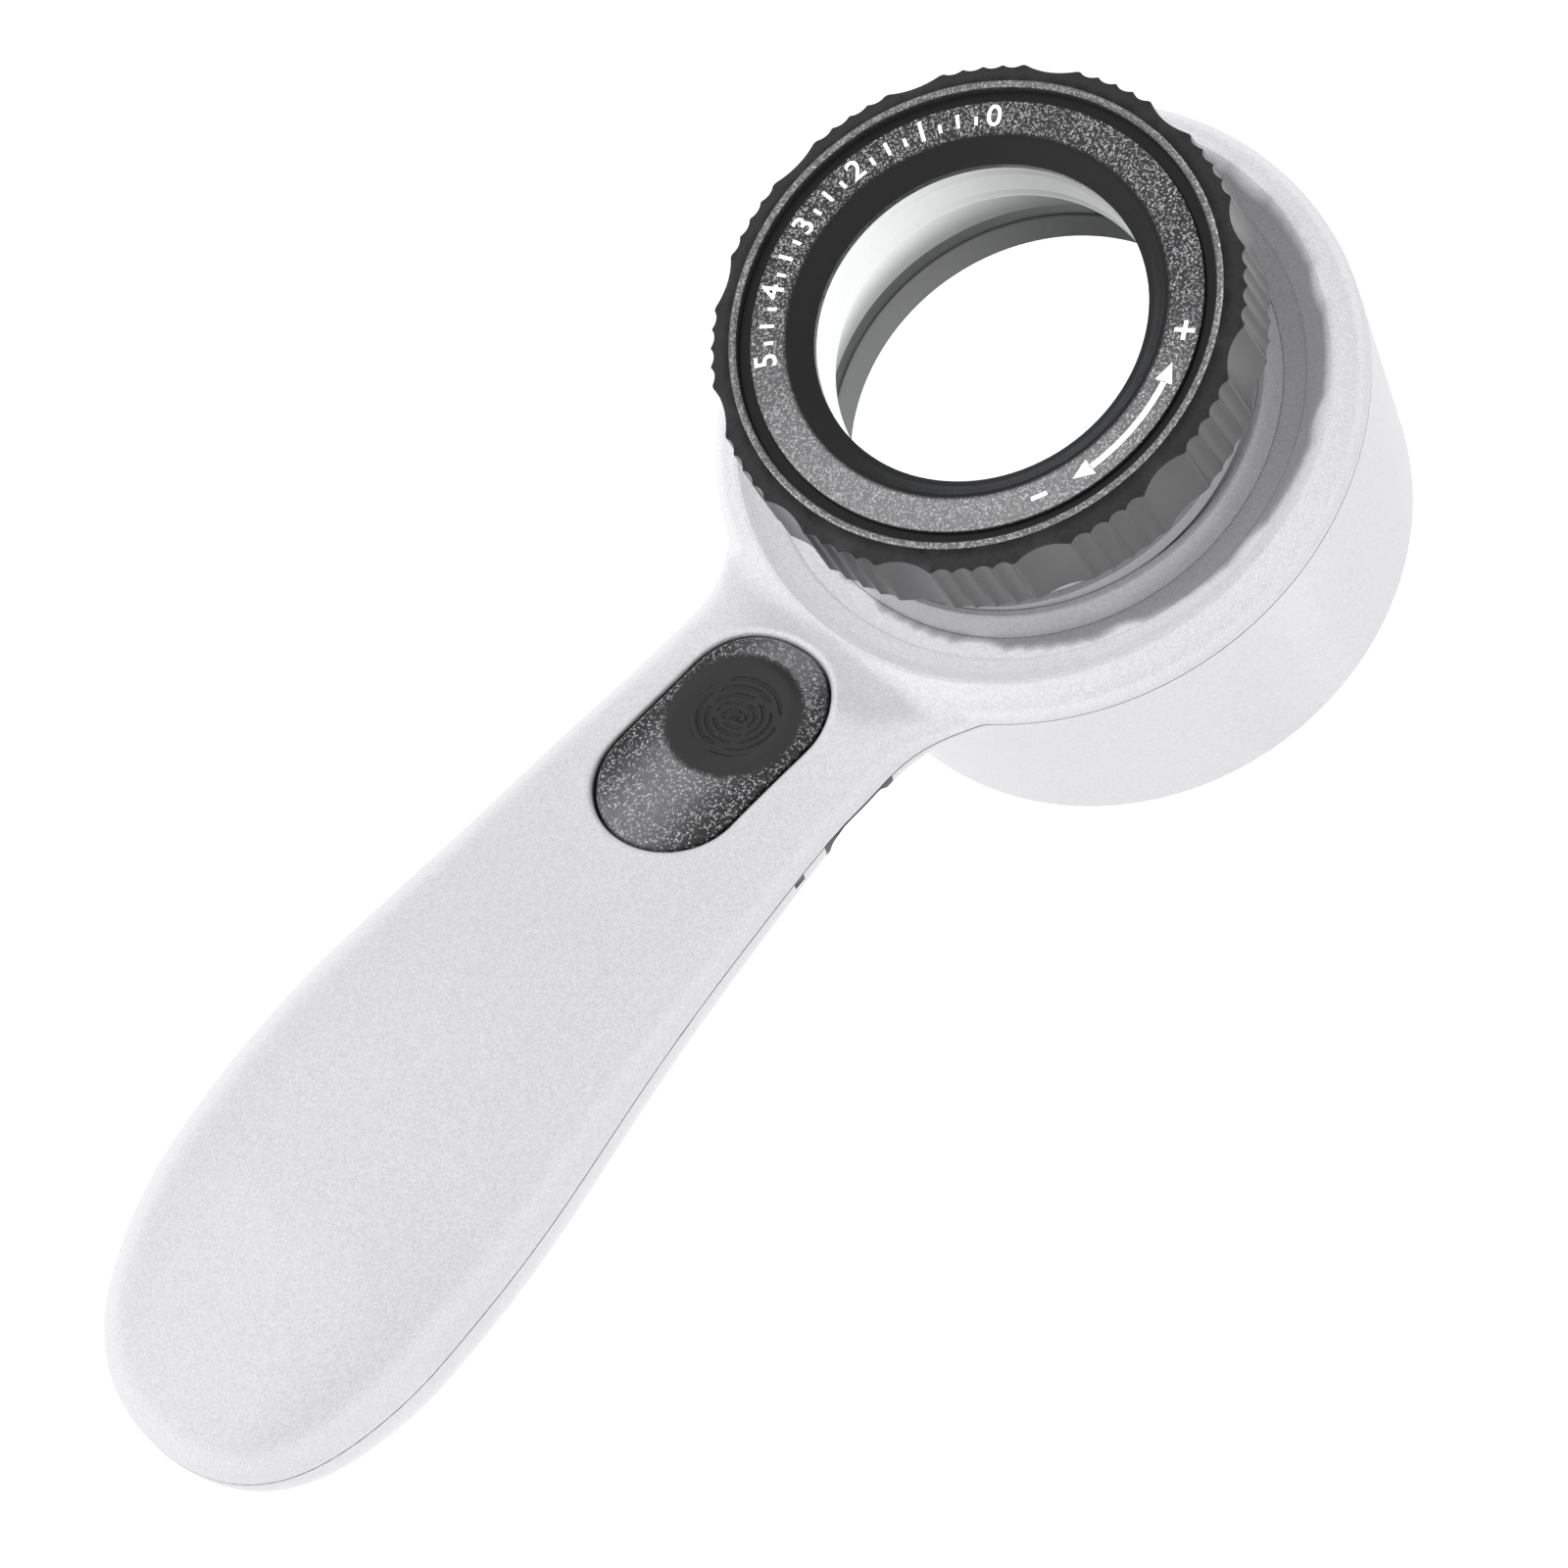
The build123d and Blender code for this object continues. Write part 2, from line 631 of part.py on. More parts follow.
with BuildPart() as grip_ring:
    with BuildSketch(Plane.XY.offset(GRIP_LOW_Z)):
        Circle(GRIP_R)
        Circle(BARREL_R + SNUG, mode=Mode.SUBTRACT)
        with PolarLocations(GRIP_R + SCALLOP_R - SCALLOP_DEPTH, SCALLOPS, start_angle=SCALLOP_PHASE):
            Circle(SCALLOP_R, mode=Mode.SUBTRACT)
        for notch in range(NOTCHES_BETWEEN):
            turn = SCALLOP_PHASE + 180 / SCALLOPS + (notch - (NOTCHES_BETWEEN - 1) / 2) * NOTCH_PITCH
            with PolarLocations(GRIP_R + NOTCH_R - NOTCH_DEPTH, SCALLOPS, start_angle=turn):
                Circle(NOTCH_R, mode=Mode.SUBTRACT)
    extrude(amount=FAR)
    outline = ring(
        (BARREL_R + SNUG, GRIP_LOW_Z),
        (GRIP_R - 0.35, GRIP_LOW_Z),
        (GRIP_R, GRIP_LOW_Z + 0.35),
        (GRIP_R, GRIP_TOP_Z - 0.1),
        (GRIP_R - 0.1, GRIP_TOP_Z),
        (26.4, 55.05),
        (26.4, 54.7),
        (25.6, 54.7),
        (25.6, BARREL_TOP_Z + SNUG),
        (BARREL_R + SNUG, BARREL_TOP_Z + SNUG),
    )
    add(outline, mode=Mode.INTERSECT)
save(grip_ring.part, "grip_ring")

face_ring = ring(
    (APERTURE_R, BARREL_TOP_Z + 0.05),
    (25.55, BARREL_TOP_Z + 0.05),
    (25.55, 54.1),
    (24.35, 54.1),
    (24.2, 54.65),
    (20.6, 54.65),
    (20.0, 54.5),
    (19.2, 53.9),
    (18.6, 53.4),
    (APERTURE_R, 53.0),
)
save(face_ring, "face_ring")

save(
    ring((25.62, 54.72), (26.38, 54.72), (26.38, 55.15), (26.2, 55.4), (25.8, 55.4), (25.62, 55.15)),
    "trim_bead",
)

# ---- button and switch -------------------------------------------------------------------
with BuildPart() as button_cap:
    add(slot_prism(BUTTON_PLANE, BUTTON_LENGTH, BUTTON_WIDTH, -0.9, 9))
    cap_form = handle_outer.moved(Location((0, 0, BUTTON_PROUD)))
    add(cap_form, mode=Mode.INTERSECT)
    add(slot_prism(BUTTON_PLANE, BUTTON_LENGTH + 1.8, BUTTON_WIDTH + 1.5, -0.9, 0))
    add(slot_prism(BUTTON_PLANE, BUTTON_LENGTH - 3, BUTTON_WIDTH - 3, -0.9, 0.8), mode=Mode.SUBTRACT)
    add(block(BUTTON_PLANE, BUTTON_PIVOT_U, 0, -0.9, 1.7, 7, 1.2))
    add(across(BUTTON_PLANE, BUTTON_PIVOT_U, TRUNNION_H, TRUNNION_R, 10.5))
    add(board_post(SWITCH_U, 0, POST_R, PLUNGER_TOP + POST_GAP, PLUNGER_TOP + POST_HEIGHT))
    with Locations(BUTTON_PLANE.from_local_coords((DISH_U, 0, THUMB_DISH_BALL_H))):
        Sphere(THUMB_DISH_BALL_R, mode=Mode.SUBTRACT)
save(button_cap.part, "button_cap")

with BuildPart() as switch_body:
    add(block(BOARD_PLANE, SWITCH_U, 0, BOARD_TOP + SNUG, SWITCH_SIZE, SWITCH_SIZE, SWITCH_BODY_TOP))
    add(board_post(SWITCH_U, 0, PLUNGER_R + RUNNING, -0.1, 3), mode=Mode.SUBTRACT)
save(switch_body.part, "switch_body")

save(board_post(SWITCH_U, 0, PLUNGER_R, 0.4, PLUNGER_TOP), "switch_plunger")

# ---- circuit board and what it carries ---------------------------------------------------
with BuildPart() as circuit_board:
    add(block(BOARD_PLANE, -5.75, 0, board_low, 32.5, 22.6, BOARD_TOP))
    add(block(BOARD_PLANE, PORT_U, -10, -3, SOCKET_WIDTH + 0.3, 9.2, 1), mode=Mode.SUBTRACT)
    for v in BOARD_SCREW_V:
        add(board_post(BOARD_SCREW_U, v, BOARD_SCREW_R + 0.1, -3, 1), mode=Mode.SUBTRACT)
save(circuit_board.part, "circuit_board")

with BuildPart() as board_screws:
    for v in BOARD_SCREW_V:
        add(board_post(BOARD_SCREW_U, v, BOARD_SCREW_R, -5.5, 0))
        add(board_post(BOARD_SCREW_U, v, 1.6, BOARD_TOP + SNUG, BOARD_TOP + 0.9))
save(board_screws.part, "board_screws")

save(block(BOARD_PLANE, -8.0, 4.0, BOARD_TOP + SNUG, 4.9, 3.9, 0.5), "charge_controller")
save(block(BOARD_PLANE, INDICATOR_U, -10.6, BOARD_TOP + SNUG, 1.6, 0.9, 0.1), "indicator_lamp")
save(block(BOARD_PLANE, -18.5, 0, BOARD_TOP + SNUG, 5.0, 7.0, 2.2), "battery_connector")
pipe_low = INDICATOR_LOW + SNUG
pipe_high = INDICATOR_TOP - SNUG
pipe = block(BOARD_PLANE, INDICATOR_U, -13.5, pipe_low, INDICATOR_WIDTH - 2 * SNUG, 3.4, pipe_high)
save(pipe, "indicator_light_pipe")

socket_origin = BOARD_PLANE.from_local_coords((PORT_U, SOCKET_MOUTH_Y, SOCKET_MIDDLE))
socket_plane = Plane(origin=socket_origin, x_dir=BOARD_PLANE.x_dir, z_dir=(0, 1, 0))
with BuildPart() as socket_shell:
    with BuildSketch(socket_plane):
        SlotOverall(SOCKET_WIDTH, SOCKET_HEIGHT)
    extrude(amount=SOCKET_DEPTH)
    with BuildSketch(socket_plane):
        SlotOverall(SOCKET_WIDTH - 0.6, SOCKET_HEIGHT - 0.6)
    extrude(amount=SOCKET_DEPTH, mode=Mode.SUBTRACT)
save(socket_shell.part, "socket_shell")

# The bezel fills the slot in front of the socket, flush with the handle's surface.
bezel_depth = 5.6
bezel_v = SOCKET_MOUTH_Y - SNUG - bezel_depth / 2
bezel_width = PORT_WIDTH - 2 * SNUG
bezel_low = SNUG - PORT_HEIGHT
bezel_high = -SEAM_GAP - SNUG
with BuildPart() as port_bezel:
    add(block(BOARD_PLANE, PORT_U, bezel_v, bezel_low, bezel_width, bezel_depth, bezel_high))
    add(handle_outer, mode=Mode.INTERSECT)
    with BuildSketch(socket_plane.offset(-bezel_depth)):
        SlotOverall(SOCKET_WIDTH + 2 * SNUG, SOCKET_HEIGHT + 2 * SNUG)
    extrude(amount=2 * bezel_depth, mode=Mode.SUBTRACT)
save(port_bezel.part, "port_bezel")

with BuildPart() as socket_tongue:
    with BuildSketch(socket_plane.offset(SOCKET_DEPTH - 1.6)):
        SlotOverall(SOCKET_WIDTH - 0.6 - 2 * SNUG, SOCKET_HEIGHT - 0.6 - 2 * SNUG)
    extrude(amount=1.6)
    with BuildSketch(socket_plane.offset(0.6)):
        Rectangle(6.7, 0.7)
    extrude(amount=SOCKET_DEPTH - 1)
save(socket_tongue.part, "socket_tongue")

# ---- battery and wires -------------------------------------------------------------------
battery_x = (BATTERY_FROM_X + BATTERY_TO_X) / 2
battery_length = BATTERY_TO_X - BATTERY_FROM_X
with BuildPart() as battery_cell:
    battery_top = BATTERY_LOW_Z + BATTERY_THICK
    add(block(Plane.XY, battery_x, 0, BATTERY_LOW_Z, battery_length, BATTERY_WIDTH, battery_top))
    fillet(battery_cell.edges().filter_by(Axis.X), radius=2.0)
save(battery_cell.part, "battery_cell")

pad = block(Plane.XY, battery_x, 0, BATTERY_RIB_TOP + SNUG, 26, 18, BATTERY_LOW_Z - SNUG)
save(pad, "battery_pad")


def wire(points, radius):
    """A wire through the given points."""
    path = Spline(*points, mode=Mode.PRIVATE).edge()
    with BuildPart() as made:
        with BuildSketch(Plane(origin=path.position_at(0), z_dir=path.tangent_at(0))):
            Circle(radius)
        sweep(path=path)
    return made.part


def battery_wire(side):
    """One lead from the battery's front end to its connector."""
    y = side * 2.0
    rise = [(-83.9, y, 32.5), (-80.0, y, 34.0), (-76.0, y, 36.4)]
    return wire([*rise, (-72.2, y, 37.2), (-69.7, y, 37.1)], 0.55)


save(battery_wire(1), "battery_wire_red")
save(battery_wire(-1), "battery_wire_black")

with BuildPart() as light_wires:
    for y in (-1.5, 1.5):
        add(wire([(-37.9, y, 30.5), (-34.5, y, 29.6), (-31.2, y, 28.2), (-29.4, y, 26.1)], 0.5))
save(light_wires.part, "light_wires")
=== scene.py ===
import json
import math

import bmesh
import bpy
import numpy as np
from mathutils import Matrix, Vector
from mathutils.bvhtree import BVHTree


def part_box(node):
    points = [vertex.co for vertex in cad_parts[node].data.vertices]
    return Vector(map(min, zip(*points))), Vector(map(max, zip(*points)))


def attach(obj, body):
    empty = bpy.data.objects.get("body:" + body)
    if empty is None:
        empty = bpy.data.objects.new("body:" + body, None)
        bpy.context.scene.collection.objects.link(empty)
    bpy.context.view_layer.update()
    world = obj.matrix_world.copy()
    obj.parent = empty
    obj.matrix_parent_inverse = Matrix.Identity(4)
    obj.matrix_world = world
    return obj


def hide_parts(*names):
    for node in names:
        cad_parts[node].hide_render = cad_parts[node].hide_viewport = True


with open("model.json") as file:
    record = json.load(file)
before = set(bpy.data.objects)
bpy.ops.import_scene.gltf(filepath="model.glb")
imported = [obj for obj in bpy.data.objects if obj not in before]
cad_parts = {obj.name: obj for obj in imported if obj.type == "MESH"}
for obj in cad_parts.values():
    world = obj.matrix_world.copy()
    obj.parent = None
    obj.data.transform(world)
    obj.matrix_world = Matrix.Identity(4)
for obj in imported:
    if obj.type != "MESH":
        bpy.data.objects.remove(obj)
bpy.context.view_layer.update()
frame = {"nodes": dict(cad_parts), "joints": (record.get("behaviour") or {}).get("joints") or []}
NODES = frame["nodes"]
MM = 0.001

# The camera's axes: image right, image up, and back towards the eye.
VIEW_RIGHT = Vector((0.647, -0.699, -0.303))
VIEW_UP = Vector((0.753, 0.525, 0.397))
VIEW_BACK = VIEW_RIGHT.cross(VIEW_UP).normalized()
AIM = Vector((-48.5, -10.7, 40.4)) * MM    # the point in the middle of the picture


# ---- shader helpers ----------------------------------------------------------------------
class Shader:
    """A small builder for one procedural material."""

    def __init__(self, name):
        self.material = bpy.data.materials.new(name)
        self.material.use_nodes = True
        self.tree = self.material.node_tree
        self.tree.nodes.clear()
        self.output = self.tree.nodes.new("ShaderNodeOutputMaterial")
        self.coords = self.tree.nodes.new("ShaderNodeTexCoord").outputs["Object"]

    def feed(self, socket, value):
        """Link a socket, or set a plain value."""
        if isinstance(value, bpy.types.NodeSocket):
            self.tree.links.new(value, socket)
        elif value is not None:
            socket.default_value = value

    def node(self, kind, settings=None, **inputs):
        made = self.tree.nodes.new("ShaderNode" + kind)
        for key, value in (settings or {}).items():
            setattr(made, key, value)
        for key, value in inputs.items():
            self.feed(made.inputs[key.replace("_", " ")], value)
        return made

    def math(self, operation, a, b=None, clamp=False):
        made = self.tree.nodes.new("ShaderNodeMath")
        made.operation = operation
        made.use_clamp = clamp
        self.feed(made.inputs[0], a)
        self.feed(made.inputs[1], b)
        return made.outputs[0]

    def ramp(self, factor, *stops):
        """A colour ramp from (position, grey or colour) stops."""
        made = self.tree.nodes.new("ShaderNodeValToRGB")
        self.feed(made.inputs[0], factor)
        elements = made.color_ramp.elements
        while len(elements) > 1:
            elements.remove(elements[-1])
        for i, (position, colour) in enumerate(stops):
            element = elements[0] if i == 0 else elements.new(position)
            element.position = position
            element.color = (*colour, 1) if isinstance(colour, tuple) else (colour, colour, colour, 1)
        return made.outputs["Color"]

    def place(self):
        """The x, y and z of a point, in millimetres."""
        scaled = self.node("VectorMath", {"operation": "SCALE"}, Vector=self.coords, Scale=1000.0)
        return self.node("SeparateXYZ", Vector=scaled.outputs[0]).outputs

    def radius(self):
        """Distance from the optical axis, in millimetres."""
        x, y, _ = self.place()
        squares = self.math("ADD", self.math("MULTIPLY", x, x), self.math("MULTIPLY", y, y))
        return self.math("SQRT", squares)

    def blend_over(self, value, low, high):
        """0 where value is below low, 1 where it is above high."""
        made = self.node("MapRange", {"interpolation_type": "SMOOTHSTEP"}, Value=value)
        made.inputs["From Min"].default_value = low
        made.inputs["From Max"].default_value = high
        return made.outputs["Result"]

    def towards(self, direction):
        """Position along a horizontal direction as a share of the distance from the axis."""
        x, y, _ = self.place()
        along = self.math(
            "ADD", self.math("MULTIPLY", x, direction[0]), self.math("MULTIPLY", y, direction[1])
        )
        return self.math("DIVIDE", along, self.radius())

    def facing_up(self, low=0.6, high=0.8):
        """1 on faces that look up, 0 on the sides."""
        normal = self.tree.nodes.new("ShaderNodeNewGeometry").outputs["True Normal"]
        return self.blend_over(self.node("SeparateXYZ", Vector=normal).outputs[2], low, high)

    def noise(self, scale, detail=2.0, roughness=0.5):
        made = self.node(
            "TexNoise", Vector=self.coords, Scale=scale, Detail=detail, Roughness=roughness
        )
        return made.outputs["Fac"]

    def cells(self, scale):
        """A random grey for every cell of about 1 / scale metres."""
        made = self.node("TexVoronoi", Vector=self.coords, Scale=scale)
        return self.node("SeparateColor", Color=made.outputs["Color"]).outputs["Red"]

    def mix(self, factor, a, b):
        made = self.tree.nodes.new("ShaderNodeMix")
        made.data_type = "RGBA"
        self.feed(made.inputs["Factor"], factor)
        self.feed(made.inputs[6], a if not isinstance(a, tuple) or len(a) == 4 else (*a, 1))
        self.feed(made.inputs[7], b if not isinstance(b, tuple) or len(b) == 4 else (*b, 1))
        return made.outputs[2]

    def edge_wear(self, low=0.52, high=0.62):
        """1 on sharp outer edges, 0 elsewhere."""
        point = self.tree.nodes.new("ShaderNodeNewGeometry").outputs["Pointiness"]
        return self.ramp(point, (low, 0.0), (high, 1.0))

    def bump(self, height, distance, strength=1.0):
        return self.node("Bump", Height=height, Distance=distance, Strength=strength).outputs["Normal"]

    def finish(self, surface):
        self.tree.links.new(surface, self.output.inputs["Surface"])
        return self.material

    def principled(self, colour, roughness, metallic=0.0, normal=None, **more):
        made = self.node("BsdfPrincipled", Roughness=roughness, Metallic=metallic, Normal=normal)
        self.feed(made.inputs["Base Color"], (*colour, 1) if isinstance(colour, tuple) else colour)
        for key, value in more.items():
            self.feed(made.inputs[key.replace("_", " ")], value)
        return made.outputs["BSDF"]


# ---- materials ---------------------------------------------------------------------------
# Radii and heights are millimetres from the optical axis and from the base. A pair gives the
# two ends of a soft change. Cells and noise scales are per metre.
SEAM_SHADE_REACH = 0.0006        # metres: gaps narrower than this get painted shade on the silver shells
SILVER_CELLS = 6500
FACE_BEVEL = (20.9, 20.3)
FACE_MOAT = (24.1, 24.3)
BARREL_INSIDE = (24.1, 23.8)
FUNNEL_HEIGHTS = (32.5, 42.0)
INNER_PAINTED_GLOW = 0.75


def silver_paint():
    """Satin silver paint with a very fine metallic sparkle, and painted shade in seams and creases."""
    s = Shader("silver_paint")
    flakes = s.cells(SILVER_CELLS)
    cloud = s.noise(60, 3)
    tone = s.math("ADD", s.math("MULTIPLY", flakes, 0.8), s.math("MULTIPLY", cloud, 0.2))
    colour = s.mix(tone, (0.58, 0.58, 0.595), (0.76, 0.76, 0.775))
    # Painted shade: ambient occlusion darkens narrow gaps and creases towards near black.
    open_air = s.node("AmbientOcclusion", {"samples": 4}, Distance=SEAM_SHADE_REACH).outputs["AO"]
    colour = s.mix(s.blend_over(open_air, 0.15, 0.55), (0.03, 0.03, 0.03), colour)
    rough = s.math("ADD", 0.31, s.math("MULTIPLY", flakes, 0.14))
    grain = s.bump(s.noise(3000, 2), 0.00001, 0.5)
    return s.finish(s.principled(colour, rough, 0.5, grain))


def speckle(s, base, flake, share, scale):
    """Paint colour with a share of bright metallic flakes, and the mask of the flakes."""
    pick = s.cells(scale)
    shine = s.cells(scale * 1.7)
    mask = s.ramp(pick, (1 - share - 0.06, 0.0), (1 - share + 0.06, 1.0))
    bright = s.math("MULTIPLY", mask, s.math("POWER", shine, 1.5))
    return s.mix(bright, base, flake), mask


def face_paint():
    """Dark grey speckled face with painted light, lighter on the handle's side, and a plain black bevel and
    moat.
    """
    s = Shader("face_speckle")
    radius = s.radius()
    # Painted light: the face's base grey grows lighter towards the handle's side.
    painted_light_side = s.blend_over(s.towards((-0.82, -0.57)), -0.3, 1.0)
    base = s.mix(painted_light_side, (0.035, 0.035, 0.037), (0.20, 0.20, 0.205))
    colour, mask = speckle(s, base, (0.62, 0.62, 0.63), 0.34, 5600)
    bevel = s.blend_over(radius, *FACE_BEVEL)
    moat = s.blend_over(radius, *FACE_MOAT)
    plain = s.math("MAXIMUM", bevel, moat)
    colour = s.mix(plain, colour, (0.012, 0.012, 0.013))
    rough = s.math("SUBTRACT", 0.4, s.math("MULTIPLY", mask, 0.1))
    grain = s.bump(s.cells(7000), 0.00002, s.math("SUBTRACT", 0.5, s.math("MULTIPLY", plain, 0.4)))
    return s.finish(s.principled(colour, rough, 0.35, grain))


def bead_metal():
    """The silver bead: bright metal with a grain of small dark pits."""
    s = Shader("bead_silver")
    colour, mask = speckle(s, (0.22, 0.22, 0.225), (0.78, 0.78, 0.79), 0.5, 5200)
    rough = s.math("SUBTRACT", 0.36, s.math("MULTIPLY", mask, 0.12))
    return s.finish(s.principled(colour, rough, 0.8, s.bump(s.noise(2500, 2), 0.00002, 0.5)))


def knurl_black():
    """Black moulded grip, matt on top, with painted reflection: nearly black on top and a little greyer down
    the sides.
    """
    s = Shader("grip_black")
    # Painted reflection: faces that look up get near black, the sides a lighter grey.
    top = s.facing_up()
    mottle = s.noise(140, 3)
    side = s.mix(mottle, (0.040, 0.040, 0.042), (0.058, 0.058, 0.060))
    upper = s.mix(s.noise(2200, 2), (0.004, 0.004, 0.004), (0.018, 0.018, 0.019))
    colour = s.mix(top, side, upper)
    colour = s.mix(s.math("MULTIPLY", s.edge_wear(), 0.12), colour, (0.2, 0.2, 0.21))
    rough = s.math("ADD", 0.30, s.math("MULTIPLY", top, 0.2))
    grain = s.bump(s.noise(2500, 2), 0.00002, 0.35)
    shine = s.math("SUBTRACT", 0.5, s.math("MULTIPLY", top, 0.38))
    return s.finish(s.principled(colour, rough, 0.0, grain, Specular_IOR_Level=shine))


def button_paint(middle, dish_radius):
    """Black speckled button with a painted highlight along the crown of its tail, and plain black in the
    thumb dish.
    """
    s = Shader("button_speckle")
    x, y, _ = s.place()
    along = s.math("POWER", s.math("SUBTRACT", x, middle), 2.0)
    from_dish = s.math("SQRT", s.math("ADD", along, s.math("POWER", y, 2.0)))
    outside = s.blend_over(from_dish, dish_radius - 0.3, dish_radius + 0.5)
    # Painted highlight: lighter along the middle of the tail's crown, fading towards its sides.
    crown = s.math("MULTIPLY", outside, s.blend_over(s.math("ABSOLUTE", y), 7.6, 1.0))
    base = s.mix(crown, (0.016, 0.016, 0.017), (0.14, 0.14, 0.145))
    colour, mask = speckle(s, base, (0.55, 0.55, 0.57), 0.24, 5200)
    colour = s.mix(s.math("MULTIPLY", outside, 0.85), (0.022, 0.022, 0.023), colour)
    rough = s.math("SUBTRACT", 0.34, s.math("MULTIPLY", mask, 0.08))
    grain = s.bump(s.noise(2500, 2), 0.00002, 0.4)
    return s.finish(s.principled(colour, rough, 0.1, grain))


def satin_plastic(name, colour, rough=0.4, grain_scale=2500, grain=0.4, tone=0.08, wear=0.15):
    """Moulded plastic with a fine grain, slight colour variation and lighter worn edges."""
    s = Shader(name)
    lighter = tuple(min(1.0, c + tone * (0.3 + c)) for c in colour)
    mottle = s.noise(120, 3)
    fine = s.noise(grain_scale, 2)
    base = s.mix(mottle, colour, lighter)
    base = s.mix(s.math("MULTIPLY", s.edge_wear(), wear), base, tuple(min(1.0, c * 2 + 0.08) for c in colour))
    roughness = s.math("ADD", rough - 0.05, s.math("MULTIPLY", fine, 0.1))
    return s.finish(s.principled(base, roughness, 0.0, s.bump(fine, 0.00002, grain)))


def brushed_metal(name, colour, rough=0.32, streak=900):
    """Metal with short brush marks."""
    s = Shader(name)
    stretched = s.node("Mapping", Vector=s.coords, Scale=(1.0, 1.0, 0.06)).outputs["Vector"]
    marks = s.node("TexNoise", Vector=stretched, Scale=streak, Detail=3.0).outputs["Fac"]
    base = s.mix(marks, tuple(c * 0.85 for c in colour), colour)
    roughness = s.math("ADD", rough - 0.06, s.math("MULTIPLY", marks, 0.14))
    return s.finish(s.principled(base, roughness, 1.0, s.bump(marks, 0.00001, 0.4)))


def look_through_glass():
    """Coated lens glass that shows what is behind it, with a faint sheen at grazing angles."""
    s = Shader("look_through_glass")
    dust = s.noise(900, 4)
    sheen = s.node("LayerWeight", Blend=0.12).outputs["Fresnel"]
    tint = s.mix(dust, (0.985, 0.99, 0.99), (1.0, 1.0, 1.0))
    clear = s.node("BsdfTransparent", Color=tint).outputs["BSDF"]
    smear = s.math("MULTIPLY", dust, 0.04)
    gloss = s.node("BsdfGlossy", Color=(0.9, 0.95, 1.0, 1), Roughness=smear).outputs["BSDF"]
    mix = s.node("MixShader")
    for socket, value in zip(mix.inputs, (s.math("MULTIPLY", sheen, 0.35), clear, gloss)):
        s.feed(socket, value)
    return s.finish(mix.outputs[0])


def glowing(name, colour, strength, rough=0.5):
    """Plastic that glows: the lamp chips' own light, and a painted glow on the white parts round the ring
    light, which are no lamps.
    """
    s = Shader(name)
    mottle = s.noise(200, 3)
    base = s.mix(mottle, tuple(c * 0.96 for c in colour), colour)
    grain = s.bump(s.noise(2500, 2), 0.00001, 0.3)
    glow = {"Emission_Color": (1.0, 1.0, 1.0, 1), "Emission_Strength": strength}
    return s.finish(s.principled(base, rough, 0.0, grain, **glow))


def painted_light_inner_wall(name, dark, light, low=None, high=None):
    """The wall seen through the lens, with painted shade that darkens it round to one side and, between two
    heights, downwards, and a painted glow.
    """
    s = Shader(name)
    # Painted shade round to one side and downwards; the same colour is emitted as a painted glow.
    painted_light_amount = s.blend_over(s.towards((-0.68, 0.73)), -0.4, 1.0)
    if low is not None:
        height = s.blend_over(s.place()[2], low, high)
        painted_light_amount = s.math("MULTIPLY", painted_light_amount, s.math("ADD", 0.3, s.math("MULTIPLY", height, 0.7)))
    grain = s.noise(1800, 2)
    colour = s.mix(painted_light_amount, (dark,) * 3, (light,) * 3)
    colour = s.mix(s.math("MULTIPLY", grain, 0.03), colour, (1.0, 1.0, 1.0))
    glow = {"Emission_Color": colour, "Emission_Strength": INNER_PAINTED_GLOW}
    base = s.mix(0.8, colour, (0.0, 0.0, 0.0))
    return s.finish(s.principled(base, 0.6, 0.0, s.bump(grain, 0.00001, 0.3), **glow))


def barrel_paint():
    """Silver outside like the collar, dull grey inside."""
    s = Shader("barrel_paint")
    inside = s.blend_over(s.radius(), *BARREL_INSIDE)
    outer = s.mix(s.cells(SILVER_CELLS), (0.60, 0.60, 0.61), (0.72, 0.72, 0.73))
    colour = s.mix(inside, outer, (0.05, 0.05, 0.05))
    metal = s.math("MULTIPLY", s.math("SUBTRACT", 1.0, inside), 0.5)
    return s.finish(s.principled(colour, 0.4, metal, s.bump(s.noise(2500, 2), 0.00001, 0.3)))


def circuit_green():
    """Solder mask with a faint pattern of tracks."""
    s = Shader("circuit_green")
    tracks = s.node("TexBrick", Vector=s.coords, Scale=420.0).outputs["Fac"]
    base = s.mix(tracks, (0.015, 0.11, 0.05), (0.03, 0.2, 0.09))
    return s.finish(s.principled(base, 0.35, 0.0, s.bump(tracks, 0.00003, 0.5), Coat_Weight=0.3))


def soft_fibre(name, colour):
    """Felt or foam: rough, with a fuzzy fine relief."""
    s = Shader(name)
    fuzz = s.noise(3500, 6, 0.7)
    base = s.mix(fuzz, tuple(c * 0.6 for c in colour), tuple(min(1.0, c * 1.6) for c in colour))
    return s.finish(s.principled(base, 0.95, 0.0, s.bump(fuzz, 0.0001, 0.8), Sheen_Weight=0.4))


